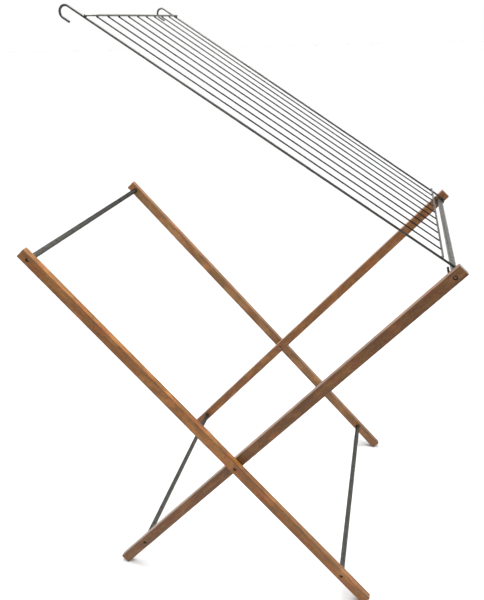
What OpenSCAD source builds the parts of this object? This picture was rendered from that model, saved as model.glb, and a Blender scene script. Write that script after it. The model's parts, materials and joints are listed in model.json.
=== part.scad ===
// Folding clothes drying rack: two pairs of crossed wooden legs, four steel
// tubes between them, and a wire grid that is hinged on one top tube and hooks
// over the other. Millimetres. X runs from the outer top tube (-X) to the
// hinged edge of the grid (+X), Y along the tubes and Z up. The origin is on
// the floor, below the middle of the leg pivot.

/* [Frame] */
// Width of the rack across the outer faces of the outer legs
rack_w = 700; // [560:5:900]
// Width of a leg, seen from the side of the rack
leg_w = 26; // [20:0.5:34]
// Thickness of a leg, along the tubes
leg_t = 17; // [15:0.5:24]
// Flat cut along the long edges of the legs
edge_ease = 1; // [0.4:0.1:2]
// Angle between a leg and the floor
leg_angle = 47.7; // [44:0.1:56]
// Distance from the leg pivot to a top tube
arm_top = 699; // [560:1:800]
// Distance from the leg pivot to a bottom tube
arm_bottom = 395; // [320:1:480]
// Leg beyond the centre of a top tube
end_top = 23.5; // [18:0.5:40]
// Leg beyond the centre of a bottom tube
end_bottom = 95.5; // [40:0.5:120]
// Gap between an outer leg and an inner leg
leg_gap = 3; // [1.5:0.5:6]

/* [Tubes] */
// Outside diameter of a tube
tube_d = 13; // [10:0.5:14]
// Wall thickness of a tube
tube_wall = 1; // [0.8:0.1:1.5]
// Depth that a tube end sits in a leg
tube_seat = 4; // [2:0.5:5]
// Length of the threaded insert in a tube end
insert_len = 18; // [14:1:30]

/* [Fasteners] */
// Diameter of the screws that hold the tubes
screw_d = 5; // [4:0.5:6]
// Length of a screw under its head
screw_len = 20; // [16:1:24]
// Diameter of the leg pivot bolts
bolt_d = 6; // [5:0.5:6]
// Diameter of a screw head or bolt head
head_d = 9; // [8:0.1:9.4]
// Height of a head
head_h = 2.8; // [2:0.1:3.5]
// Diameter of the counterbore round a head
counterbore_d = 10; // [10:0.1:12]
// Depth of the counterbore
counterbore_depth = 4; // [3:0.5:6]
// Width of the pivot nut across its flats
nut_af = 10; // [9:0.5:12]
// Height of the pivot nut
nut_h = 5; // [4:0.5:7]
// Outside diameter of the washer between two legs
washer_d = 16; // [12:1:20]

/* [Wire grid] */
// Angle of the raised grid above the horizontal
grid_tilt = 33.2; // [10:0.1:60]
// Number of long wires between the two side wires
long_wire_count = 9; // [9:1:9]
// Distance between the centres of the two side wires
grid_w = 594; // [450:2:598]
// Diameter of the side wires, which make the hooks and hinge loops
side_wire_d = 5; // [3.5:0.5:6]
// Diameter of the cross wires
cross_wire_d = 4.5; // [3:0.5:5.5]
// Diameter of the long wires
long_wire_d = 3.2; // [2:0.1:4]
// Distance from the hinge tube to the first cross wire
cross_first = 39.5; // [34:0.5:60]
// Distance from the hinge tube to the cross wire at the hooks
cross_last = 910.5; // [500:0.5:912]
// Distance from the hinge tube to the centre of the hook bend
hook_centre = 950.5; // [935:0.5:953]
// Centre line radius of the hook bend
hook_r = 12.6; // [12:0.1:16]
// Straight return at the end of a hook
hook_return = 16; // [8:1:24]
// Centre line radius of the hinge loop
loop_r = 10.4; // [10:0.1:14]
// Angle that the wire turns in the hinge loop
loop_turn = 223; // [190:1:230]
// Straight tail at the end of the hinge loop
loop_tail = 15; // [4:1:16]
// Gap between a side wire and the tube that it crosses
loop_play = 0.65; // [0.4:0.05:1.5]

/* [Hidden] */
$fn = 48;

// Running fit of a shaft or tube in its bore, on the radius
run_fit = 0.05;
// End play beside each turning joint
end_play = 0.1;
// Radial room round a screw in its leg
screw_room = 0.35;
// Depth that crossing wires sink into each other at a weld
weld_sink = 0.15;
// Length that the wires stand out past the wires they cross
cross_overhang = 4;
long_overhang = 2;
// Straight edge below the dome of a head
head_edge = 0.8;
// Width across the flats and depth of the hexagon socket in a head
socket_af = 3;
socket_depth = 1.6;
// Length of bolt that shows past its nut
bolt_tip = 1.5;

leg_top = arm_top + end_top;
leg_bottom = arm_bottom + end_bottom;
// Height of the leg pivot, with the lower corner of each leg on the floor
pivot_z = leg_bottom * sin(leg_angle) + leg_w / 2 * cos(leg_angle);
// Centre of the hinge tube
hinge_x = arm_top * cos(leg_angle);
hinge_z = pivot_z + arm_top * sin(leg_angle);

// Faces of the back legs, measured from the middle of the rack
outer_y1 = rack_w / 2;
outer_y0 = outer_y1 - leg_t;
inner_y1 = outer_y0 - leg_gap;
inner_y0 = inner_y1 - leg_t;

tube_r = tube_d / 2;
bore_r = tube_r - tube_wall;
screw_r = screw_d / 2;
bolt_r = bolt_d / 2;
head_r = head_d / 2;
// Radius of the sphere that makes the dome of a head
dome_h = head_h - head_edge;
dome_r = (head_r * head_r + dome_h * dome_h) / (2 * dome_h);

// Heights of the wires above the line through the centres of the tubes
side_n = tube_r + loop_play + side_wire_d / 2;
cross_n = side_n + side_wire_d / 2 + cross_wire_d / 2 - weld_sink;
long_n = cross_n - cross_wire_d / 2 - long_wire_d / 2 + weld_sink;
long_pitch = grid_w / (long_wire_count + 1);

wood_outer = [0.62, 0.42, 0.26];
wood_inner = [0.52, 0.34, 0.22];
steel_tube = [0.50, 0.51, 0.50];
steel_wire = [0.34, 0.34, 0.33];
fastener = [0.45, 0.44, 0.42];

// ---- placing ---------------------------------------------------------------

// Outer frame: local X runs down the legs from the pivot, local Z across them
module in_outer_frame() {
    translate([0, 0, pivot_z]) rotate([0, leg_angle, 0]) children();
}

// Inner frame: the mirror image of the outer frame
module in_inner_frame() {
    mirror([1, 0, 0]) in_outer_frame() children();
}

// Grid: local X runs along the wires from the hinge tube, local Z out of them
module in_grid() {
    translate([hinge_x, 0, hinge_z]) mirror([1, 0, 0]) rotate([0, -grid_tilt, 0]) children();
}

module at_both_ends() {
    children();
    mirror([0, 1, 0]) children();
}

// Round bar along Y between two Y values
module y_bar(r, y_from, y_to) {
    translate([0, y_from, 0]) rotate([-90, 0, 0]) cylinder(r = r, h = y_to - y_from);
}

// Round bar along local X at height n above it
module x_bar(r, x_from, x_to, n) {
    translate([x_from, 0, n]) rotate([0, 90, 0]) cylinder(r = r, h = x_to - x_from);
}

// ---- wooden legs -----------------------------------------------------------

// Bar with eased long edges, along local X through the pivot
module leg_bar(y0, y1) {
    h = leg_w / 2;
    e = edge_ease;
    translate([-leg_top, 0, 0])
        rotate([90, 0, 90])
            linear_extrude(leg_top + leg_bottom)
                polygon([[y0 + e, -h], [y1 - e, -h], [y1, e - h], [y1, h - e],
                         [y1 - e, h], [y0 + e, h], [y0, h - e], [y0, e - h]]);
}

// Stepped hole for a tube end on the inner face and a screw from the outer face
module tube_hole(y0, y1) {
    y_bar(tube_r + run_fit, y0 - 1, y0 + tube_seat);
    y_bar(screw_r + screw_room, y0, y1);
    y_bar(counterbore_d / 2, y1 - counterbore_depth, y1 + 1);
}

// Outer leg at the back, with a counterbore for the pivot bolt's head
module outer_leg() {
    difference() {
        leg_bar(outer_y0, outer_y1);
        translate([-arm_top, 0, 0]) tube_hole(outer_y0, outer_y1);
        translate([arm_bottom, 0, 0]) tube_hole(outer_y0, outer_y1);
        y_bar(bolt_r + run_fit, outer_y0 - 1, outer_y1 + 1);
        y_bar(counterbore_d / 2, outer_y1 - counterbore_depth, outer_y1 + 1);
    }
}

// Inner leg at the back, with a plain bore that turns on the pivot bolt
module inner_leg() {
    difference() {
        leg_bar(inner_y0, inner_y1);
        translate([-arm_top, 0, 0]) tube_hole(inner_y0, inner_y1);
        translate([arm_bottom, 0, 0]) tube_hole(inner_y0, inner_y1);
        y_bar(bolt_r + run_fit, inner_y0 - 1, inner_y1 + 1);
    }
}

module outer_leg_back() {
    color(wood_outer) in_outer_frame() outer_leg();
}

module outer_leg_front() {
    color(wood_outer) in_outer_frame() mirror([0, 1, 0]) outer_leg();
}

module inner_leg_back() {
    color(wood_inner) in_inner_frame() inner_leg();
}

module inner_leg_front() {
    color(wood_inner) in_inner_frame() mirror([0, 1, 0]) inner_leg();
}

// ---- steel tubes, their inserts and screws ----------------------------------

// Tube whose ends stop at +y_end and -y_end
module tube(y_end) {
    difference() {
        y_bar(tube_r, -y_end, y_end);
        y_bar(bore_r, -y_end - 1, y_end + 1);
    }
}

// Threaded insert, flush with the tube's end at y_end
module insert(y_end) {
    difference() {
        y_bar(bore_r - run_fit, y_end - insert_len, y_end);
        y_bar(screw_r + run_fit, y_end - insert_len - 1, y_end + 1);
    }
}

// Domed head with a hexagon socket, seated at y_seat and facing +Y
module domed_head(y_seat) {
    difference() {
        intersection() {
            y_bar(head_r, y_seat, y_seat + head_h);
            translate([0, y_seat + head_h - dome_r, 0]) sphere(r = dome_r);
        }
        translate([0, y_seat + head_h - socket_depth, 0])
            rotate([-90, 0, 0])
                cylinder(d = socket_af / cos(30), h = socket_depth + 1, $fn = 6);
    }
}

// Button head screw, seated at y_seat
module screw(y_seat) {
    domed_head(y_seat);
    y_bar(screw_r, y_seat - screw_len, y_seat);
}

outer_tube_end = outer_y0 + tube_seat;
inner_tube_end = inner_y0 + tube_seat;
outer_screw_seat = outer_y1 - counterbore_depth;
inner_screw_seat = inner_y1 - counterbore_depth;

module outer_top_tube() {
    color(steel_tube) in_outer_frame() translate([-arm_top, 0, 0]) tube(outer_tube_end);
}

module outer_bottom_tube() {
    color(steel_tube) in_outer_frame() translate([arm_bottom, 0, 0]) tube(outer_tube_end);
}

module outer_inserts() {
    color(fastener) in_outer_frame() for (s = [-arm_top, arm_bottom])
        translate([s, 0, 0]) at_both_ends() insert(outer_tube_end);
}

module outer_screws() {
    color(fastener) in_outer_frame() for (s = [-arm_top, arm_bottom])
        translate([s, 0, 0]) at_both_ends() screw(outer_screw_seat);
}

module inner_bottom_tube() {
    color(steel_tube) in_inner_frame() translate([arm_bottom, 0, 0]) tube(inner_tube_end);
}

module inner_bottom_inserts() {
    color(fastener) in_inner_frame() translate([arm_bottom, 0, 0])
        at_both_ends() insert(inner_tube_end);
}

module inner_bottom_screws() {
    color(fastener) in_inner_frame() translate([arm_bottom, 0, 0])
        at_both_ends() screw(inner_screw_seat);
}

// The hinge tube and its screws turn in the legs, so they have end play
module inner_top_tube() {
    color(steel_tube) in_inner_frame() translate([-arm_top, 0, 0])
        tube(inner_tube_end - end_play);
}

module inner_top_inserts() {
    color(fastener) in_inner_frame() translate([-arm_top, 0, 0])
        at_both_ends() insert(inner_tube_end - end_play);
}

module inner_top_screws() {
    color(fastener) in_inner_frame() translate([-arm_top, 0, 0])
        at_both_ends() screw(inner_screw_seat + end_play);
}

// ---- leg pivots --------------------------------------------------------------

pivot_nut_y1 = inner_y0 - end_play;
pivot_nut_y0 = pivot_nut_y1 - nut_h;

module pivot_bolts() {
    color(fastener) in_outer_frame() at_both_ends() {
        domed_head(outer_screw_seat);
        y_bar(bolt_r, pivot_nut_y0 - bolt_tip, outer_screw_seat);
    }
}

// Spacing washer against the outer leg, with end play beside the inner leg
module pivot_washers() {
    color(fastener) in_outer_frame() at_both_ends() difference() {
        y_bar(washer_d / 2, inner_y1 + end_play, outer_y0);
        y_bar(bolt_r + run_fit, inner_y1, outer_y0 + 1);
    }
}

module pivot_nuts() {
    color(fastener) in_outer_frame() at_both_ends() difference() {
        translate([0, pivot_nut_y0, 0])
            rotate([-90, 0, 0])
                cylinder(d = nut_af / cos(30), h = nut_h, $fn = 6);
        y_bar(bolt_r + run_fit, pivot_nut_y0 - 1, pivot_nut_y1 + 1);
    }
}

// ---- wire grid -----------------------------------------------------------------

// Frame of a wire bend in the local XZ plane, turned to the angle a
module at_bend(centre_x, centre_n, a) {
    translate([centre_x, 0, centre_n]) rotate([90, 0, 0]) rotate([0, 0, a]) children();
}

// Bend of round wire from angle a0 through angle turn
module wire_bend(centre_x, centre_n, bend_r, a0, turn) {
    at_bend(centre_x, centre_n, a0)
        rotate_extrude(angle = turn)
            translate([bend_r, 0]) circle(d = side_wire_d);
}

// Straight wire that carries on from the end of a bend at angle a
module wire_tail(centre_x, centre_n, bend_r, a, length) {
    at_bend(centre_x, centre_n, a)
        translate([bend_r, 0, 0])
            rotate([-90, 0, 0]) cylinder(d = side_wire_d, h = length);
}

// Side wire: hinge loop round the tube, straight run, and hook at the far end
module side_wire() {
    loop_n = side_n - loop_r;
    hook_n = side_n - hook_r;
    wire_bend(hook_centre, hook_n, hook_r, -90, 180);
    wire_tail(hook_centre, hook_n, hook_r, 90, hook_centre);
    mirror([0, 0, 1])
        wire_tail(hook_centre, -hook_n, hook_r, 90, hook_return);
    wire_bend(0, loop_n, loop_r, 90, loop_turn);
    wire_tail(0, loop_n, loop_r, 90 + loop_turn, loop_tail);
}

module side_wire_front() {
    color(steel_wire) in_grid() translate([0, -grid_w / 2, 0]) side_wire();
}

module side_wire_back() {
    color(steel_wire) in_grid() translate([0, grid_w / 2, 0]) side_wire();
}

module cross_wire(distance) {
    reach = grid_w / 2 + cross_overhang;
    translate([distance, 0, cross_n]) y_bar(cross_wire_d / 2, -reach, reach);
}

module cross_wire_hinge_end() {
    color(steel_wire) in_grid() cross_wire(cross_first);
}

module cross_wire_hook_end() {
    color(steel_wire) in_grid() cross_wire(cross_last);
}

// Long wire, welded under both cross wires; number 1 is the one at the front
module long_wire(number) {
    y = number * long_pitch - grid_w / 2;
    color(steel_wire) in_grid() translate([0, y, 0])
        x_bar(long_wire_d / 2, cross_first - long_overhang, cross_last + long_overhang, long_n);
}

outer_leg_front();
outer_leg_back();
outer_top_tube();
outer_bottom_tube();
outer_inserts();
outer_screws();
pivot_bolts();
pivot_washers();
pivot_nuts();
inner_leg_front();
inner_leg_back();
inner_bottom_tube();
inner_bottom_inserts();
inner_bottom_screws();
inner_top_tube();
inner_top_inserts();
inner_top_screws();
side_wire_front();
side_wire_back();
cross_wire_hinge_end();
cross_wire_hook_end();
for (i = [1 : long_wire_count])
    long_wire(i);
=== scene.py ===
"""Looks of the folding clothes drying rack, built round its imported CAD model. Metres."""
import json
import math

import bmesh
import bpy
from mathutils import Euler, Matrix, Vector, noise


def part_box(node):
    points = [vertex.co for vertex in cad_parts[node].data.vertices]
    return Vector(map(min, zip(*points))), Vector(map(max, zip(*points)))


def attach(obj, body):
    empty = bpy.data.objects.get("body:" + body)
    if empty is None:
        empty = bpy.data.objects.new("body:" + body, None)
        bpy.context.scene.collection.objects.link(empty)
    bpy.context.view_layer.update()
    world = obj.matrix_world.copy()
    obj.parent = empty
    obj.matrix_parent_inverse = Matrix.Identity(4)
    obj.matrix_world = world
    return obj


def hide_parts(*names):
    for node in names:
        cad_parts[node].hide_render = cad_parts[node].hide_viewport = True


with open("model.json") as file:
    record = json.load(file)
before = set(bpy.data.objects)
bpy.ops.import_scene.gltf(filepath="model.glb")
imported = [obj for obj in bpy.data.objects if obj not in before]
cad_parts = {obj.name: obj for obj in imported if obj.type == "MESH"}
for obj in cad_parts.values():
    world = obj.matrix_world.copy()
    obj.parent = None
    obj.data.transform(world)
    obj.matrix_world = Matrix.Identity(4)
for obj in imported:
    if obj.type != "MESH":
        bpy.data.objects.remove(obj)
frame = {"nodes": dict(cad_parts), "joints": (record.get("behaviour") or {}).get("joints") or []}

MM = 0.001
Y_AXIS = Vector((0, 1, 0))
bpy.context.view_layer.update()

# ---- places, read from the frame --------------------------------------------------

JOINTS = {joint["name"]: joint for joint in frame["joints"]}
PIVOT = Vector(JOINTS["leg_fold"]["pos_m"])
HINGE = Vector(JOINTS["grid_swing"]["pos_m"])


def centre(node):
    low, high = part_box(node)
    return (low + high) / 2


def span(node, origin, direction):
    """Lowest and highest reach of a CAD node along a direction, from an origin."""
    reach = [(v.co - origin).dot(direction) for v in frame["nodes"][node].data.vertices]
    return min(reach), max(reach)


def placed(origin, x_dir):
    """Matrix of a local frame: X along x_dir, Y along the row's Y."""
    x = x_dir.normalized()
    z = x.cross(Y_AXIS)
    return Matrix.Translation(origin) @ Matrix((x, Y_AXIS, z)).transposed().to_4x4()


ARM_TOP = (HINGE - PIVOT).length
INNER_DOWN = (PIVOT - HINGE).normalized()
OUTER_DOWN = Vector((-INNER_DOWN.x, 0, INNER_DOWN.z))
OUTER_FRAME = placed(PIVOT, OUTER_DOWN)
INNER_FRAME = placed(PIVOT, INNER_DOWN)
ARM_BOTTOM = (centre("outer_bottom_tube") - PIVOT).length
TUBE_R = (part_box("outer_top_tube")[1].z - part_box("outer_top_tube")[0].z) / 2

CROSS_HINGE = centre("cross_wire_hinge_end")
CROSS_HOOK = centre("cross_wire_hook_end")
GRID = placed(HINGE, CROSS_HOOK - CROSS_HINGE)
GRID_X = GRID.to_3x3().col[0]
# GRID's Z points down through the wires, so a height above the tubes is negative there
GRID_DOWN = GRID.to_3x3().col[2]
SIDE_WIRE_R = (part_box("side_wire_front")[1].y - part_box("side_wire_front")[0].y) / 2
LONG_WIRE_R = (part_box("long_wire_1")[1].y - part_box("long_wire_1")[0].y) / 2
CROSS_WIRE_R = (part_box("cross_wire_hook_end")[1].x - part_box("cross_wire_hook_end")[0].x) / 2
LONG_WIRES = sorted(n for n in frame["nodes"] if n.startswith("long_wire_"))

# ---- sizes that the frame doesn't give directly ------------------------------------

EDGE_ROUND = 0.7 * MM
TUBE_SEAT = 4.0 * MM
TUBE_HOLE_R = TUBE_R + 0.05 * MM
SCREW_R = 2.5 * MM
SCREW_HOLE_R = 2.85 * MM
SCREW_LENGTH = 20 * MM
BOLT_R = 3 * MM
BOLT_HOLE_R = 3.05 * MM
HEAD_R = 4.5 * MM
HEAD_HEIGHT = 2.8 * MM
HEAD_EDGE = 0.8 * MM
# The screws' heads stand on the floors of the counterbores
HEAD_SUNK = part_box("outer_leg_back")[1].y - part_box("outer_screws")[1].y
COUNTERBORE_DEPTH = HEAD_SUNK + HEAD_HEIGHT
SOCKET_AF = 3 * MM
SOCKET_DEPTH = 1.6 * MM
COUNTERBORE_R = 5 * MM
RIM_ROUND = 0.35 * MM
CUT_PAST = 1 * MM
TUBE_WALL = 1 * MM
TUBE_END_ROUND = 0.2 * MM
HOOK_R = 12.6 * MM
HOOK_CENTRE = 950.5 * MM
HOOK_RETURN = 16 * MM
LOOP_R = 10.4 * MM
LOOP_TURN = 223
LOOP_TAIL = 15 * MM
LOOP_PLAY = 0.65 * MM
SIDE_HEIGHT = TUBE_R + LOOP_PLAY + SIDE_WIRE_R

# ---- mesh helpers ------------------------------------------------------------------

MERGE_DISTANCE = 1e-7
ON_AXIS = 1e-9


def finished_mesh(bm, name, smooth_deg=35):
    """Mesh of a bmesh, shaded smooth with sharp edges above an angle."""
    bmesh.ops.remove_doubles(bm, verts=bm.verts, dist=MERGE_DISTANCE)
    bmesh.ops.recalc_face_normals(bm, faces=bm.faces)
    mesh = bpy.data.meshes.new(name)
    bm.to_mesh(mesh)
    bm.free()
    mesh.shade_smooth()
    mesh.set_sharp_from_angle(angle=math.radians(smooth_deg))
    return mesh


def add_object(name, mesh, matrix=Matrix.Identity(4)):
    obj = bpy.data.objects.new(name, mesh)
    bpy.context.scene.collection.objects.link(obj)
    obj.matrix_world = matrix
    return obj


def applied(obj):
    """Replaces an object's mesh by its mesh with every modifier applied."""
    bpy.context.view_layer.update()
    graph = bpy.context.evaluated_depsgraph_get()
    mesh = bpy.data.meshes.new_from_object(obj.evaluated_get(graph), depsgraph=graph)
    obj.modifiers.clear()
    obj.data = mesh


def cut(obj, cutter, operation="DIFFERENCE"):
    """Boolean with another object, which is used up. Both share one local frame."""
    cutter.matrix_world = obj.matrix_world
    modifier = obj.modifiers.new("cut", "BOOLEAN")
    modifier.object = cutter
    modifier.operation = operation
    modifier.solver = "EXACT"
    applied(obj)
    bpy.data.objects.remove(cutter)


def lathe(bm, profile, matrix=Matrix.Identity(4), sides=48):
    """Turns a closed outline of (radius, height) points about local Z."""
    rings = []
    for radius, height in profile:
        if radius < ON_AXIS:
            rings.append([bm.verts.new(matrix @ Vector((0, 0, height)))] * sides)
            continue
        ring = []
        for i in range(sides):
            a = 2 * math.pi * i / sides
            corner = Vector((radius * math.cos(a), radius * math.sin(a), height))
            ring.append(bm.verts.new(matrix @ corner))
        rings.append(ring)
    for ring, following in zip(rings, rings[1:] + rings[:1]):
        for i in range(sides):
            j = (i + 1) % sides
            corners = []
            for v in (ring[i], ring[j], following[j], following[i]):
                if v not in corners:
                    corners.append(v)
            if len(corners) > 2:
                bm.faces.new(corners)


def along_y(x=0.0, y=0.0, z=0.0, outward=1):
    """Matrix whose local Z points along +Y, or along -Y with outward = -1."""
    turn = Euler((-math.pi / 2 * outward, 0, 0)).to_matrix().to_4x4()
    return Matrix.Translation((x, y, z)) @ turn


def arc(cx, cy, radius, start_deg, turn_deg, step_deg=5):
    """Points on an arc, both ends included."""
    count = max(2, round(abs(turn_deg) / step_deg))
    angles = [math.radians(start_deg + turn_deg * i / count) for i in range(count + 1)]
    return [(cx + radius * math.cos(a), cy + radius * math.sin(a)) for a in angles]


def sweep(bm, path, radius, sides=20, end_round=0.35):
    """Round wire along a planar path of Vectors, with its cut ends a little rounded."""
    tangents = []
    for i in range(len(path)):
        before = path[max(i - 1, 0)]
        after = path[min(i + 1, len(path) - 1)]
        tangents.append((after - before).normalized())
    e = radius * end_round
    # At a cut end: how far in from it a ring stands, and how much smaller the ring is
    rounding = [(0, e), (0.3 * e, 0.3 * e), (e, 0)]
    rings = []
    for inward, less in rounding:
        rings.append((path[0] + tangents[0] * inward, tangents[0], radius - less))
    rings += [(p, t, radius) for p, t in list(zip(path, tangents))[1:-1]]
    for inward, less in reversed(rounding):
        rings.append((path[-1] - tangents[-1] * inward, tangents[-1], radius - less))
    made = []
    for point, tangent, r in rings:
        across = Y_AXIS if abs(tangent.y) < 0.9 else Vector((1, 0, 0))
        u = (across - tangent * across.dot(tangent)).normalized()
        v = tangent.cross(u)
        angles = [2 * math.pi * i / sides for i in range(sides)]
        made.append([bm.verts.new(point + (u * math.cos(a) + v * math.sin(a)) * r) for a in angles])
    for ring, following in zip(made, made[1:]):
        for i in range(sides):
            j = (i + 1) % sides
            bm.faces.new((ring[i], ring[j], following[j], following[i]))
    bm.faces.new(made[0][::-1])
    bm.faces.new(made[-1])


def stand_for(obj, material, body, slot, *nodes):
    """Gives a piece its material, its body and the CAD nodes that it stands for."""
    obj.data.materials.clear()
    obj.data.materials.append(material)
    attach(obj, body)
    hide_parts(*nodes)
    return obj


# ---- materials -----------------------------------------------------------------------


class Shader:
    """A new material with a Principled BSDF, and short calls that add nodes to it."""

    def __init__(self, name):
        self.material = bpy.data.materials.new(name)
        self.material.use_nodes = True
        self.tree = self.material.node_tree
        self.tree.nodes.clear()
        output = self.tree.nodes.new("ShaderNodeOutputMaterial")
        self.bsdf = self.tree.nodes.new("ShaderNodeBsdfPrincipled")
        self.tree.links.new(self.bsdf.outputs[0], output.inputs["Surface"])

    def put(self, socket, value):
        if isinstance(value, bpy.types.NodeSocket):
            self.tree.links.new(value, socket)
        else:
            socket.default_value = value

    def add(self, kind, inputs=None, output=0, **settings):
        """Adds a node, sets its properties and inputs, and returns one of its outputs."""
        node = self.tree.nodes.new("ShaderNode" + kind)
        for key, value in settings.items():
            setattr(node, key, value)
        for key, value in (inputs or {}).items():
            self.put(node.inputs[key], value)
        return node.outputs[output]

    def math(self, operation, a, b=0.0, clamp=False):
        return self.add("Math", {0: a, 1: b}, operation=operation, use_clamp=clamp)

    def noise(self, vector, scale, detail=2.0, roughness=0.5):
        inputs = {"Vector": vector, "Scale": scale, "Detail": detail, "Roughness": roughness}
        return self.add("TexNoise", inputs)

    def ramp(self, value, low, high):
        """0 below low, 1 above high and smooth between them."""
        inputs = {"Value": value, "From Min": low, "From Max": high}
        return self.add("MapRange", inputs, interpolation_type="SMOOTHSTEP")

    def mix(self, factor, a, b, blend="MIX"):
        node = self.tree.nodes.new("ShaderNodeMix")
        node.data_type = "RGBA"
        node.blend_type = blend
        self.put(node.inputs[0], factor)
        for socket, colour in ((node.inputs[6], a), (node.inputs[7], b)):
            if not isinstance(colour, bpy.types.NodeSocket):
                colour = (*colour, 1.0)
            self.put(socket, colour)
        return node.outputs[2]

    def tinted(self, colour, factor, strength, tint):
        """A colour multiplied by a tint, as far as factor and strength say."""
        return self.mix(self.math("MULTIPLY", factor, strength), colour, tint, "MULTIPLY")

    def scaled(self, vector, scale, shift=(0, 0, 0)):
        return self.add("Mapping", {"Vector": vector, "Scale": scale, "Location": shift})

    def bump(self, height, strength, distance, normal=None):
        inputs = {"Height": height, "Strength": strength, "Distance": distance}
        if normal is not None:
            inputs["Normal"] = normal
        return self.add("Bump", inputs)

    def finish(self, **sockets):
        for name, value in sockets.items():
            self.put(self.bsdf.inputs[name.replace("_", " ")], value)
        return self.material


# Broad red, olive and amber tints in the wood. Each has the shift and scale of its noise,
# the noise values where it starts and is full, its strength, and what it multiplies by
WOOD_TINTS = (
    ((7, 3, 5), 62, 0.52, 0.66, 0.60, (1.22, 0.86, 0.84)),
    ((2, 8, 1), 70, 0.54, 0.68, 0.60, (0.80, 1.00, 0.74)),
    ((4, 1, 9), 48, 0.55, 0.70, 0.55, (1.20, 1.04, 0.62)),
)
STREAK_TINT = (0.56, 0.50, 0.46)
FLECK_TINT = (0.62, 0.54, 0.48)
FIBRE_TINT = (0.62, 0.55, 0.50)
PORE_TINT = (0.35, 0.30, 0.28)
# Painted shade on the legs' long edges
EDGE_SHADE_TINT = (0.34, 0.28, 0.25)
END_GRAIN_DARK = (0.50, 0.44, 0.40)
END_GRAIN_LIGHT = (0.78, 0.72, 0.68)
# Width of the painted shade along the legs' long edges
EDGE_SHADE_WIDTH = 1.8 * MM
WOOD_SPECULAR = 0.35
WOOD_SHEEN = 0.42
WOOD_SHEEN_ROUGHNESS = 0.3


def wood(name, mid, dark, light, seed, size, middle):
    """Oiled hardwood. Local X runs along the grain; size and middle are the bar's."""
    s = Shader(name)
    place = s.add("TexCoord", output=3)
    normal = s.add("TexCoord", output=1)
    grain = s.scaled(place, (0.045, 1, 1), (seed * 3.7, seed * 1.3, seed * 2.1))
    streak_place = s.scaled(place, (0.10, 1, 1), (seed, seed * 2.9, seed * 1.7))
    patch = s.scaled(place, (0.38, 1, 1), (seed * 5.1, seed, seed * 0.7))

    # Growth rings: bands across the bar, bent by slow noise
    bend = s.noise(grain, 60, 3, 0.55)
    ring_inputs = {"Vector": grain, "Scale": 300, "Detail": 4.0, "Roughness": 0.62}
    rings = s.add("TexNoise", {**ring_inputs, "Distortion": bend})
    streaks = s.noise(streak_place, 520, 3, 0.65)
    fibres = s.noise(grain, 1700, 3, 0.65)
    pore_place = s.scaled(place, (0.06, 1, 1), (seed, 0, 0))
    pores = s.ramp(s.noise(pore_place, 2600, 1), 0.60, 0.72)
    fleck_place = s.scaled(place, (0.22, 1, 1), (seed * 1.9, seed, seed * 0.3))
    flecks = s.noise(fleck_place, 640, 2, 0.6)

    colour = s.mix(s.ramp(rings, 0.34, 0.66), dark, mid)
    blotch = s.ramp(s.noise(patch, 38, 3, 0.6), 0.44, 0.68)
    colour = s.mix(s.math("MULTIPLY", blotch, 0.70), colour, light)
    for shift, scale, low, high, strength, tint in WOOD_TINTS:
        area = s.noise(s.scaled(patch, (1, 1, 1), shift), scale, 2, 0.55)
        colour = s.tinted(colour, s.ramp(area, low, high), strength, tint)
    colour = s.tinted(colour, s.ramp(streaks, 0.44, 0.72), 0.35, STREAK_TINT)
    colour = s.mix(s.ramp(flecks, 0.42, 0.62), colour, FLECK_TINT, "MULTIPLY")
    colour = s.tinted(colour, s.ramp(fibres, 0.40, 0.75), 0.30, FIBRE_TINT)
    colour = s.tinted(colour, pores, 0.55, PORE_TINT)

    # Painted shade: the bar's four long edges are darkened in noisy patches, standing in for the
    # shade on their rounding
    along = s.add("SeparateXYZ", {0: place}).node.outputs
    off_y = s.math("ABSOLUTE", s.math("SUBTRACT", along[1], middle[1]))
    off_z = s.math("ABSOLUTE", s.math("SUBTRACT", along[2], middle[2]))
    near_y = s.ramp(off_y, size[1] / 2 - EDGE_SHADE_WIDTH, size[1] / 2)
    near_z = s.ramp(off_z, size[2] / 2 - EDGE_SHADE_WIDTH, size[2] / 2)
    edge_shade_patches = s.ramp(s.noise(patch, 90, 3), 0.20, 0.55)
    edge_shade = s.math("MULTIPLY", s.math("MULTIPLY", near_y, near_z), edge_shade_patches)
    colour = s.tinted(colour, edge_shade, 0.9, EDGE_SHADE_TINT)

    # End grain takes up oil and looks darker
    facing = s.add("SeparateXYZ", {0: normal})
    end = s.ramp(s.math("ABSOLUTE", facing), 0.5, 0.8)
    wave = {"Vector": place, "Scale": 150, "Distortion": 5.0, "Detail": 2.0, "Detail Scale": 1.4}
    end_rings = s.add("TexWave", wave, output=1, bands_direction="Z")
    end_tone = s.mix(end_rings, END_GRAIN_DARK, END_GRAIN_LIGHT)
    colour = s.mix(end, colour, s.mix(1.0, colour, end_tone, "MULTIPLY"))

    roughness = s.math("ADD", 0.34, s.math("MULTIPLY", fibres, 0.20))
    relief = s.math("SUBTRACT", s.math("MULTIPLY", fibres, 0.6), pores)
    normal_out = s.bump(relief, 0.35, 0.15 * MM)
    normal_out = s.bump(rings, 0.25, 0.3 * MM, normal_out)
    s.bsdf.inputs["Specular IOR Level"].default_value = WOOD_SPECULAR
    s.bsdf.inputs["Sheen Weight"].default_value = WOOD_SHEEN
    s.bsdf.inputs["Sheen Roughness"].default_value = WOOD_SHEEN_ROUGHNESS
    return s.finish(Base_Color=colour, Roughness=roughness, Normal=normal_out)


SPECK_TINT = (0.45, 0.43, 0.40)
# The streaks are four times as long along Y as across
DRAWN_SCALE = (1, 0.25, 1)


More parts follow.
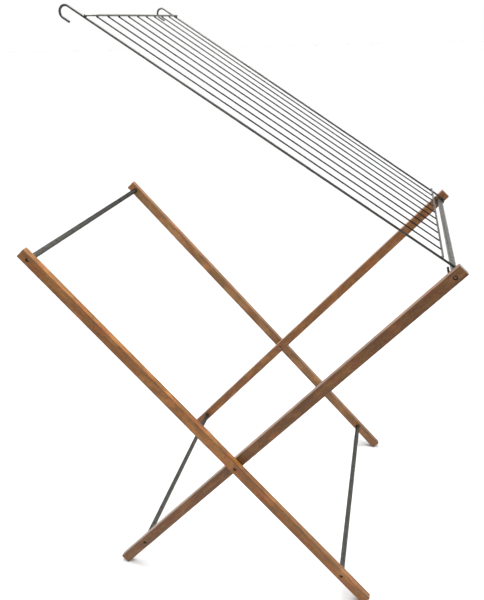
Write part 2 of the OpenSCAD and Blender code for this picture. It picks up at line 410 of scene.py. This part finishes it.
def steel(name, dark, light, rough_low, rough_high, edge):
    """Dull galvanised steel: faint spangle, drawn streaks and a few dark specks.

    edge is how bright the steel is where it is seen at a grazing angle, from 0 to 1.
    """
    s = Shader(name)
    place = s.add("TexCoord", output=3)
    cells = {"Vector": place, "Scale": 420.0, "Randomness": 1.0}
    spangle = s.add("TexVoronoi", cells, output=1)
    spangle_value = s.add("SeparateColor", {0: spangle})
    cloud = s.noise(place, 70, 4, 0.6)
    drawn = s.noise(s.scaled(place, DRAWN_SCALE), 900, 2, 0.6)
    specks = s.ramp(s.noise(place, 1700, 2), 0.66, 0.74)
    tone = s.math("ADD", s.math("MULTIPLY", cloud, 0.55), s.math("MULTIPLY", spangle_value, 0.25))
    tone = s.math("ADD", tone, s.math("MULTIPLY", drawn, 0.25), clamp=True)
    colour = s.mix(tone, dark, light)
    colour = s.tinted(colour, specks, 0.6, SPECK_TINT)
    roughness = s.add("MapRange", {"Value": tone, "To Min": rough_low, "To Max": rough_high})
    normal = s.bump(drawn, 0.20, 0.08 * MM)
    normal = s.bump(specks, 0.25, 0.05 * MM, normal)
    s.bsdf.inputs["Metallic"].default_value = 1.0
    s.bsdf.inputs["Specular Tint"].default_value = (edge, edge, edge, 1)
    return s.finish(Base_Color=colour, Roughness=roughness, Normal=normal)


# Name, dark and light colour, lowest and highest roughness, edge
# Painted shade: the frame's tubes get a darkened copy of the one tube steel
SHADED_TUBE_STEEL = steel(
    "tube_steel", (0.095, 0.093, 0.086), (0.205, 0.201, 0.186), 0.22, 0.34, 0.15)
# Painted light: the hinge tube gets a lighter copy of the same tube steel, also brighter at grazing
# angles
LIT_HINGE_TUBE_STEEL = steel(
    "hinge_tube_steel", (0.135, 0.132, 0.124), (0.300, 0.294, 0.276), 0.20, 0.32, 0.7)
# Painted shade and highlight: the wires are one galvanised steel in three tones; the long wires'
# copy is darkened, the side wires' copy lies between
SHADED_LONG_WIRE_STEEL = steel(
    "shaded_long_wire_steel", (0.018, 0.0177, 0.017), (0.050, 0.049, 0.047), 0.26, 0.38, 0.30)
SIDE_WIRE_STEEL = steel(
    "side_wire_steel", (0.034, 0.033, 0.031), (0.095, 0.093, 0.088), 0.26, 0.38, 0.45)
# Painted highlight: the cross wires' copy of the wire steel is lightened
LIT_CROSS_WIRE_STEEL = steel(
    "lit_cross_wire_steel", (0.10, 0.098, 0.092), (0.240, 0.234, 0.22), 0.24, 0.36, 0.7)
WELD_STEEL = steel(
    "weld_steel", (0.025, 0.024, 0.023), (0.06, 0.058, 0.055), 0.50, 0.68, 0.5)
# Painted reflection and shade: the brown tint stands in for the wood reflected in the heads, and
# the dark tone for the shade in the counterbores; the washers, nuts and inserts share it
SCREW_STEEL_PAINTED_REFLECTION = steel(
    "screw_steel", (0.10, 0.070, 0.048), (0.25, 0.185, 0.135), 0.16, 0.30, 0.6)

# The four bars differ a little, as pieces of timber do
OUTER_FRONT_WOOD = {
    "mid": (0.265, 0.110, 0.020),
    "dark": (0.160, 0.062, 0.011),
    "light": (0.375, 0.170, 0.041),
}
OUTER_BACK_WOOD = {
    "mid": (0.215, 0.103, 0.033),
    "dark": (0.135, 0.061, 0.019),
    "light": (0.31, 0.162, 0.064),
}
INNER_FRONT_WOOD = {
    "mid": (0.162, 0.068, 0.015),
    "dark": (0.100, 0.040, 0.009),
    "light": (0.230, 0.104, 0.030),
}
INNER_BACK_WOOD = {
    "mid": (0.215, 0.088, 0.020),
    "dark": (0.140, 0.054, 0.011),
    "light": (0.30, 0.135, 0.038),
}

# ---- wooden legs --------------------------------------------------------------------


def hole_cutter(profile, x, y_low):
    """Cutter turned from (radius, distance from y_low) points, about Y at x."""
    bm = bmesh.new()
    lathe(bm, profile, along_y(x=x, y=y_low))
    return add_object("cutter", finished_mesh(bm, "cutter"))


def counterbore(depth):
    """End of a hole's outline: a counterbore with an eased rim, and on past the face."""
    return [(COUNTERBORE_R, depth - COUNTERBORE_DEPTH),
            (COUNTERBORE_R, depth - RIM_ROUND),
            (COUNTERBORE_R + RIM_ROUND, depth),
            (COUNTERBORE_R + RIM_ROUND, depth + CUT_PAST),
            (0, depth + CUT_PAST)]


def tube_hole(depth):
    """Outline of a tube's seat, a screw hole and a counterbore, from the inner face."""
    seat = [(0, -CUT_PAST),
            (TUBE_HOLE_R + RIM_ROUND, -CUT_PAST),
            (TUBE_HOLE_R + RIM_ROUND, 0),
            (TUBE_HOLE_R, RIM_ROUND),
            (TUBE_HOLE_R, TUBE_SEAT)]
    screw_hole = [(SCREW_HOLE_R, TUBE_SEAT), (SCREW_HOLE_R, depth - COUNTERBORE_DEPTH)]
    return seat + screw_hole + counterbore(depth)


def bolt_hole(depth, with_counterbore):
    """Outline of a pivot bolt's hole, from the inner face."""
    start = [(0, -CUT_PAST), (BOLT_HOLE_R, -CUT_PAST)]
    if not with_counterbore:
        return start + [(BOLT_HOLE_R, depth + CUT_PAST), (0, depth + CUT_PAST)]
    return start + [(BOLT_HOLE_R, depth - COUNTERBORE_DEPTH)] + counterbore(depth)


def mirrored(profile, depth):
    """The same outline, counted from the other face and in the other direction."""
    return [(radius, depth - height) for radius, height in reversed(profile)]


def leg(node, body, matrix, tones, seed, pivot_counterbore):
    """Drilled wooden bar in place of a CAD leg; matrix is its frame's, at the pivot."""
    axes = matrix.to_3x3()
    reach = [span(node, PIVOT, axes.col[i]) for i in range(3)]
    size = Vector([high - low for low, high in reach])
    middle = Vector([(high + low) / 2 for low, high in reach])
    bm = bmesh.new()
    block = Matrix.Translation(middle) @ Matrix.Diagonal((*size, 1))
    bmesh.ops.create_cube(bm, size=1, matrix=block)
    bmesh.ops.bevel(
        bm, geom=bm.edges, offset=EDGE_ROUND, segments=4, profile=0.5, affect="EDGES")
    obj = add_object(node + "_wood", finished_mesh(bm, node + "_wood"), matrix)
    y_low, y_high = reach[1]
    depth = y_high - y_low
    holes = ((-ARM_TOP, tube_hole(depth)),
             (ARM_BOTTOM, tube_hole(depth)),
             (0, bolt_hole(depth, pivot_counterbore)))
    for x, profile in holes:
        if middle.y < 0:
            profile = mirrored(profile, depth)
        cut(obj, hole_cutter(profile, x, y_low))
    obj.data.shade_smooth()
    obj.data.set_sharp_from_angle(angle=math.radians(40))
    obj.modifiers.new("even_shading", "WEIGHTED_NORMAL").keep_sharp = True
    applied(obj)
    material = wood(node + "_wood", **tones, seed=seed, size=size, middle=middle)
    stand_for(obj, material, body, "leg_wood", node)


leg("outer_leg_front", "outer_frame", OUTER_FRAME, OUTER_FRONT_WOOD, 1.0, True)
leg("outer_leg_back", "outer_frame", OUTER_FRAME, OUTER_BACK_WOOD, 2.6, True)
leg("inner_leg_front", "inner_frame", INNER_FRAME, INNER_FRONT_WOOD, 4.3, False)
leg("inner_leg_back", "inner_frame", INNER_FRAME, INNER_BACK_WOOD, 6.1, False)

# ---- steel tubes --------------------------------------------------------------------


def ring_profile(inner, outer, length, e):
    """Closed outline of a turned ring or tube with its four edges eased by e."""
    return [(inner, e), (inner + e, 0), (outer - e, 0), (outer, e),
            (outer, length - e), (outer - e, length), (inner + e, length), (inner, length - e)]


def tube(node, body, material=SHADED_TUBE_STEEL):
    """Open steel tube along Y in place of a CAD tube."""
    low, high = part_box(node)
    length = high.y - low.y
    bm = bmesh.new()
    lathe(bm, ring_profile(TUBE_R - TUBE_WALL, TUBE_R, length, TUBE_END_ROUND), along_y())
    matrix = Matrix.Translation((centre(node).x, low.y, centre(node).z))
    obj = add_object(node + "_steel", finished_mesh(bm, node + "_steel"), matrix)
    stand_for(obj, material, body, "tube_steel", node)


tube("outer_top_tube", "outer_frame")
tube("outer_bottom_tube", "outer_frame")
tube("inner_bottom_tube", "inner_frame")
tube("inner_top_tube", "hinge_tube", LIT_HINGE_TUBE_STEEL)

# ---- screws, pivot bolts, washers, nuts and inserts ---------------------------------

SCREW_TIP = 0.8 * MM
HEAD_SEAT_ROUND = 0.15 * MM
SOCKET_POINT = 0.4 * MM
SCREW_TURNS = (0.4, 1.1)
BOLT_TURN = 0.9

def headed(name, shank_r, shank_length):
    """Mesh of a button head screw about local Z: seat at 0, head above and shank below."""
    dome = HEAD_HEIGHT - HEAD_EDGE
    dome_r = (HEAD_R ** 2 + dome ** 2) / (2 * dome)
    half = math.degrees(math.asin(HEAD_R / dome_r))
    outline = [(0, -shank_length),
               (shank_r - SCREW_TIP / 2, -shank_length),
               (shank_r, SCREW_TIP - shank_length),
               (shank_r, 0),
               (HEAD_R - HEAD_SEAT_ROUND, 0),
               (HEAD_R, HEAD_SEAT_ROUND)]
    outline += arc(0, HEAD_HEIGHT - dome_r, dome_r, 90 - half, half, 3)[:-1]
    outline.append((0, HEAD_HEIGHT))
    bm = bmesh.new()
    lathe(bm, outline)
    obj = add_object(name, finished_mesh(bm, name))
    bm = bmesh.new()
    corner = SOCKET_AF / math.sqrt(3)
    bottom = HEAD_HEIGHT - SOCKET_DEPTH
    socket = [(0, bottom - SOCKET_POINT),
              (corner, bottom),
              (corner, 2 * HEAD_HEIGHT),
              (0, 2 * HEAD_HEIGHT)]
    lathe(bm, socket, sides=6)
    cut(obj, add_object("cutter", finished_mesh(bm, "cutter", 1)))
    mesh = obj.data
    bpy.data.objects.remove(obj)
    mesh.set_sharp_from_angle(angle=math.radians(30))
    return mesh


def copies(name, mesh, matrices):
    """One object that holds a copy of a mesh at each matrix."""
    bm = bmesh.new()
    for matrix in matrices:
        part = mesh.copy()
        part.transform(matrix)
        bm.from_mesh(part)
        bpy.data.meshes.remove(part)
    return add_object(name, finished_mesh(bm, name, 30))


def pair(at, distance, turn=0.0):
    """Matrices at +distance and -distance along Y from a point, facing outwards."""
    spin = Matrix.Rotation(turn, 4, "Z")
    return [along_y(at.x, side * distance, at.z, side) @ spin for side in (1, -1)]


def screws(node, body, tubes):
    """Screws whose heads' tops are where the CAD node's ends are."""
    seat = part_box(node)[1].y - HEAD_HEIGHT
    matrices = []
    for tube_node, head_turn in zip(tubes, SCREW_TURNS):
        matrices += pair(centre(tube_node), seat, head_turn)
    obj = copies(node + "_steel", headed("screw", SCREW_R, SCREW_LENGTH), matrices)
    stand_for(obj, SCREW_STEEL_PAINTED_REFLECTION, body, "fastener_steel", node)


screws("outer_screws", "outer_frame", ["outer_top_tube", "outer_bottom_tube"])
screws("inner_bottom_screws", "inner_frame", ["inner_bottom_tube"])
screws("inner_top_screws", "hinge_tube", ["inner_top_tube"])

# Faces of the back pivot parts that look outwards, as distances along Y
BOLT_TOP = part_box("pivot_bolts")[1].y
WASHER_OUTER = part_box("pivot_washers")[1].y
NUT_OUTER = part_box("pivot_nuts")[1].y

NUT_HEIGHT = 5 * MM
BOLT_TIP = 1.5 * MM
BOLT_SEAT = BOLT_TOP - HEAD_HEIGHT
BOLT_LENGTH = BOLT_SEAT - (NUT_OUTER - NUT_HEIGHT - BOLT_TIP)
WASHER_R = (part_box("pivot_washers")[1].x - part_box("pivot_washers")[0].x) / 2
WASHER_THICKNESS = 2.9 * MM
WASHER_EDGE = 0.3 * MM
NUT_CORNER_R = (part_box("pivot_nuts")[1].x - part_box("pivot_nuts")[0].x) / 2
COLLAR_EDGE = 0.4 * MM

bolt_mesh = headed("bolt", BOLT_R, BOLT_LENGTH)
bolts = copies("pivot_bolts_steel", bolt_mesh, pair(PIVOT, BOLT_SEAT, BOLT_TURN))
stand_for(bolts, SCREW_STEEL_PAINTED_REFLECTION, "outer_frame", "fastener_steel", "pivot_bolts")

bm = bmesh.new()
lathe(bm, ring_profile(BOLT_HOLE_R, WASHER_R, WASHER_THICKNESS, WASHER_EDGE))
washer = finished_mesh(bm, "washer")
washers = copies("pivot_washers_steel", washer, pair(PIVOT, WASHER_OUTER - WASHER_THICKNESS))
stand_for(washers, SCREW_STEEL_PAINTED_REFLECTION, "outer_frame", "fastener_steel", "pivot_washers")


def nut_mesh():
    """Hexagon nut with turned corners and a round locking collar, opening along local Z."""
    flat_r = NUT_CORNER_R * math.cos(math.pi / 6)
    hexagon = 0.78 * NUT_HEIGHT
    bm = bmesh.new()
    lathe(bm, [(0, 0), (NUT_CORNER_R, 0), (NUT_CORNER_R, hexagon), (0, hexagon)], sides=6)
    obj = add_object("nut", finished_mesh(bm, "nut", 1))
    bm = bmesh.new()
    fall = (NUT_CORNER_R - flat_r) * 0.6
    turned = [(0, 0),
              (flat_r, 0),
              (NUT_CORNER_R, fall),
              (NUT_CORNER_R, hexagon - fall),
              (flat_r, hexagon),
              (0, hexagon)]
    lathe(bm, turned)
    cut(obj, add_object("cutter", finished_mesh(bm, "cutter")), "INTERSECT")
    bm = bmesh.new()
    collar = flat_r * 0.88
    collar_profile = [(0, hexagon / 2),
                      (collar, hexagon / 2),
                      (collar, NUT_HEIGHT - COLLAR_EDGE),
                      (collar - COLLAR_EDGE, NUT_HEIGHT),
                      (0, NUT_HEIGHT)]
    lathe(bm, collar_profile)
    cut(obj, add_object("cutter", finished_mesh(bm, "cutter")), "UNION")
    bm = bmesh.new()
    top = NUT_HEIGHT + CUT_PAST
    lathe(bm, [(0, -CUT_PAST), (BOLT_HOLE_R, -CUT_PAST), (BOLT_HOLE_R, top), (0, top)])
    cut(obj, add_object("cutter", finished_mesh(bm, "cutter")))
    mesh = obj.data
    bpy.data.objects.remove(obj)
    return mesh


nut_places = [along_y(PIVOT.x, side * NUT_OUTER, PIVOT.z, -side) for side in (1, -1)]
nuts = copies("pivot_nuts_steel", nut_mesh(), nut_places)
stand_for(nuts, SCREW_STEEL_PAINTED_REFLECTION, "outer_frame", "fastener_steel", "pivot_nuts")

# The threaded inserts sit inside the tubes, so the CAD shapes stay
for node in ("outer_inserts", "inner_bottom_inserts", "inner_top_inserts"):
    frame["nodes"][node].data.materials.clear()
    frame["nodes"][node].data.materials.append(SCREW_STEEL_PAINTED_REFLECTION)

# ---- wire grid ----------------------------------------------------------------------

WIRE_PIECES = 8
# Half lengths of a weld bead along X, Y and Z of the grid
LONG_WIRE_WELD = (2.3 * MM, 2.4 * MM, 1.0 * MM)
SIDE_WIRE_WELD = (3.4 * MM, 4.5 * MM, 1.9 * MM)
WELD_INTO_WIRE = 0.1 * MM
WELD_SWELL = 0.16
WELD_SEED_STEP = 1.7


def grid_point(x, height, y=0.0):
    """Point at a distance from the hinge tube along the wires and a height above it."""
    return HINGE + GRID_X * x - GRID_DOWN * height + Y_AXIS * y


def side_wire(node):
    """Thick wire with a loop round the hinge tube at one end and a hook at the other."""
    y = centre(node).y
    loop_c = SIDE_HEIGHT - LOOP_R
    hook_c = SIDE_HEIGHT - HOOK_R
    loop_end = math.radians(90 + LOOP_TURN)
    tail = (LOOP_R * math.cos(loop_end) - LOOP_TAIL * math.sin(loop_end),
            loop_c + LOOP_R * math.sin(loop_end) + LOOP_TAIL * math.cos(loop_end))
    points = [tail]
    points += arc(0, loop_c, LOOP_R, 90 + LOOP_TURN, -LOOP_TURN)
    points += [(HOOK_CENTRE * i / WIRE_PIECES, SIDE_HEIGHT) for i in range(1, WIRE_PIECES)]
    points += arc(HOOK_CENTRE, hook_c, HOOK_R, 90, -180)
    points.append((HOOK_CENTRE - HOOK_RETURN, hook_c - HOOK_R))
    bm = bmesh.new()
    sweep(bm, [grid_point(x, height, y) for x, height in points], SIDE_WIRE_R, sides=24)
    obj = add_object(node + "_steel", finished_mesh(bm, node + "_steel"))
    stand_for(obj, SIDE_WIRE_STEEL, "drying_grid", "wire_steel", node)


def straight_wire(node, direction, radius, material):
    """Straight wire with its ends where the CAD node's are."""
    low, high = span(node, centre(node), direction)
    steps = [low + (high - low) * i / WIRE_PIECES for i in range(WIRE_PIECES + 1)]
    path = [centre(node) + direction * step for step in steps]
    bm = bmesh.new()
    sweep(bm, path, radius)
    obj = add_object(node + "_steel", finished_mesh(bm, node + "_steel"))
    stand_for(obj, material, "drying_grid", "wire_steel", node)


side_wire("side_wire_front")
side_wire("side_wire_back")
straight_wire("cross_wire_hinge_end", Y_AXIS, CROSS_WIRE_R, LIT_CROSS_WIRE_STEEL)
straight_wire("cross_wire_hook_end", Y_AXIS, CROSS_WIRE_R, LIT_CROSS_WIRE_STEEL)
for node in LONG_WIRES:
    straight_wire(node, GRID_X, LONG_WIRE_R, SHADED_LONG_WIRE_STEEL)


def weld(bm, point, lengths, seed):
    """Small uneven bead round a point, with half lengths along X, Y and Z of the grid."""
    start = len(bm.verts)
    bmesh.ops.create_icosphere(bm, subdivisions=3, radius=1)
    bm.verts.ensure_lookup_table()
    axes = GRID.to_3x3()
    for v in bm.verts[start:]:
        swell = 1 + WELD_SWELL * noise.noise(v.co * 2.3 + Vector((seed, 0, 0)))
        local = Vector([v.co[i] * lengths[i] * swell for i in range(3)])
        v.co = point + axes @ local


crossing_wires = [(node, LONG_WIRE_WELD) for node in LONG_WIRES]
crossing_wires += [(node, SIDE_WIRE_WELD) for node in ("side_wire_front", "side_wire_back")]
bm = bmesh.new()
count = 0
for cross in (CROSS_HINGE, CROSS_HOOK):
    underside = cross + GRID_DOWN * (CROSS_WIRE_R - WELD_INTO_WIRE)
    for node, lengths in crossing_wires:
        count += 1
        weld(bm, underside + Y_AXIS * centre(node).y, lengths, count * WELD_SEED_STEP)
welds = add_object("grid_welds", finished_mesh(bm, "grid_welds", 80))
welds.data.materials.append(WELD_STEEL)
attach(welds, "drying_grid")

# ---- floor, light and camera --------------------------------------------------------

FLOOR_HALF = 40
FLOOR_DARK = (0.65, 0.65, 0.65)
FLOOR_LIGHT = (0.67, 0.67, 0.67)
floor_tone = Shader("floor")
floor_grain = floor_tone.noise(floor_tone.add("TexCoord", output=3), 3, 2)
floor_colour = floor_tone.mix(floor_grain, FLOOR_DARK, FLOOR_LIGHT)
bm = bmesh.new()
bmesh.ops.create_grid(bm, x_segments=1, y_segments=1, size=FLOOR_HALF)
floor = add_object("floor", finished_mesh(bm, "floor"))
floor.data.materials.append(floor_tone.finish(Base_Color=floor_colour, Roughness=0.9))

world = bpy.data.worlds.new("studio")
bpy.context.scene.world = world
world.use_nodes = True
world_nodes = world.node_tree.nodes
world_links = world.node_tree.links
# White round the horizon and dim overhead; the dim part leans a little to the front right
OVERHEAD = (0.12, -0.18, 1.0)
WHITE_BELOW = 0.32
DIM_ABOVE = 0.64
DIM_STRENGTH = 0.15
direction = world_nodes.new("ShaderNodeTexCoord")
rise = world_nodes.new("ShaderNodeVectorMath")
rise.operation = "DOT_PRODUCT"
rise.inputs[1].default_value = OVERHEAD
fade = world_nodes.new("ShaderNodeMapRange")
fade.interpolation_type = "SMOOTHSTEP"
fade.inputs["From Min"].default_value = WHITE_BELOW
fade.inputs["From Max"].default_value = DIM_ABOVE
fade.inputs["To Min"].default_value = 1.0
fade.inputs["To Max"].default_value = DIM_STRENGTH
world_links.new(direction.outputs["Generated"], rise.inputs[0])
world_links.new(rise.outputs["Value"], fade.inputs["Value"])
world_links.new(fade.outputs[0], world_nodes["Background"].inputs["Strength"])
world_nodes["Background"].inputs["Color"].default_value = (1, 1, 1, 1)


def lamp(name, kind, energy):
    data = bpy.data.lights.new(name, kind)
    data.energy = energy
    obj = bpy.data.objects.new(name, data)
    bpy.context.scene.collection.objects.link(obj)
    return obj


# Distant lamp with a wide soft disc
KEY_STRENGTH = 4.0
KEY_DISC_DEG = 60
KEY_TOWARDS = Vector((-0.20, 0.22, -1))
key = lamp("key", "SUN", KEY_STRENGTH)
key.data.angle = math.radians(KEY_DISC_DEG)
key.rotation_euler = KEY_TOWARDS.to_track_quat("-Z", "Y").to_euler()

# Softbox above the end of the rack that the hooks reach, to lighten the tops of the legs
SOFTBOX_WATTS = 32
SOFTBOX_SIZE = 1.0
SOFTBOX_FROM_PIVOT = Vector((-0.30, 0.10, 1.5))
softbox = lamp("softbox", "AREA", SOFTBOX_WATTS)
softbox.data.size = SOFTBOX_SIZE
softbox.location = PIVOT + SOFTBOX_FROM_PIVOT
softbox.visible_camera = False

# Camera: place from the leg pivot, in widths of the rack, and its yaw, pitch and roll
RACK_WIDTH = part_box("outer_leg_back")[1].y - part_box("outer_leg_front")[0].y
CAMERA_FROM_PIVOT = Vector((0.4805, -2.3413, 1.4352))
CAMERA_YAW = math.radians(13.29)
CAMERA_PITCH = math.radians(22.72)
CAMERA_ROLL = math.radians(-1.83)
CAMERA_LENS = 39.75
CAMERA_SENSOR = 36

camera_data = bpy.data.cameras.new("camera")
camera_data.lens = CAMERA_LENS
camera_data.sensor_width = CAMERA_SENSOR
camera = bpy.data.objects.new("camera", camera_data)
bpy.context.scene.collection.objects.link(camera)
turn = Matrix.Rotation(CAMERA_YAW, 4, "Z")
turn = turn @ Matrix.Rotation(math.pi / 2 - CAMERA_PITCH, 4, "X")
turn = turn @ Matrix.Rotation(CAMERA_ROLL, 4, "Z")
camera.matrix_world = Matrix.Translation(PIVOT + CAMERA_FROM_PIVOT * RACK_WIDTH) @ turn
bpy.context.scene.camera = camera
bpy.context.scene.view_settings.view_transform = "Standard"
